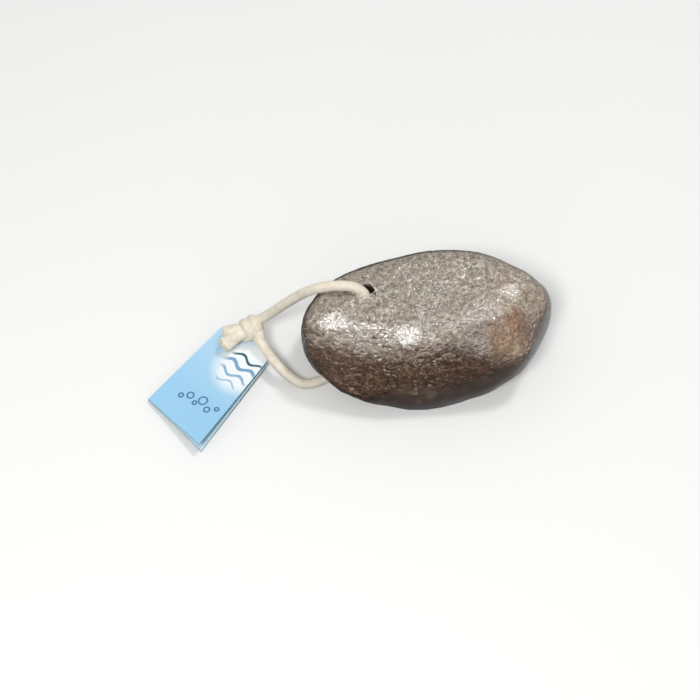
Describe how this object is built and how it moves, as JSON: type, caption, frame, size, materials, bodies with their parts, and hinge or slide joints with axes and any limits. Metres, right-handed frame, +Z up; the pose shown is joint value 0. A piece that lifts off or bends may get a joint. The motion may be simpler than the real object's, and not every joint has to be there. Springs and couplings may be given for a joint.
{
  "type": "pumice stone",
  "caption": "Rounded pumice stone in clear shrink film, drilled through one end for a knotted cotton cord loop that carries a folded card tag; for smoothing skin.",
  "frame": {"origin": "on the table under the middle of the wrapped stone", "axes": "+X along the stone, away from the cord; +Z up from the flat underside; +Y to the back of the stone"},
  "size_m": [0.1568, 0.0582, 0.0446],
  "materials": {
    "pumice": "fine open pores, matt, grey brown with a rusty patch",
    "clear_film": "thin clear shrink film, glossy",
    "cotton_cord": "soft undyed cotton, laid",
    "cotton_knot": "soft undyed cotton, frayed at the ends",
    "tag_card": "smooth printed card, light blue"
  },
  "bodies": {
    "root": {"pumice_stone": "pumice", "shrink_film": "clear_film", "cord_loop": "cotton_cord", "cord_knot": "cotton_knot", "card_tag": "tag_card"}
  },
  "joints": []
}
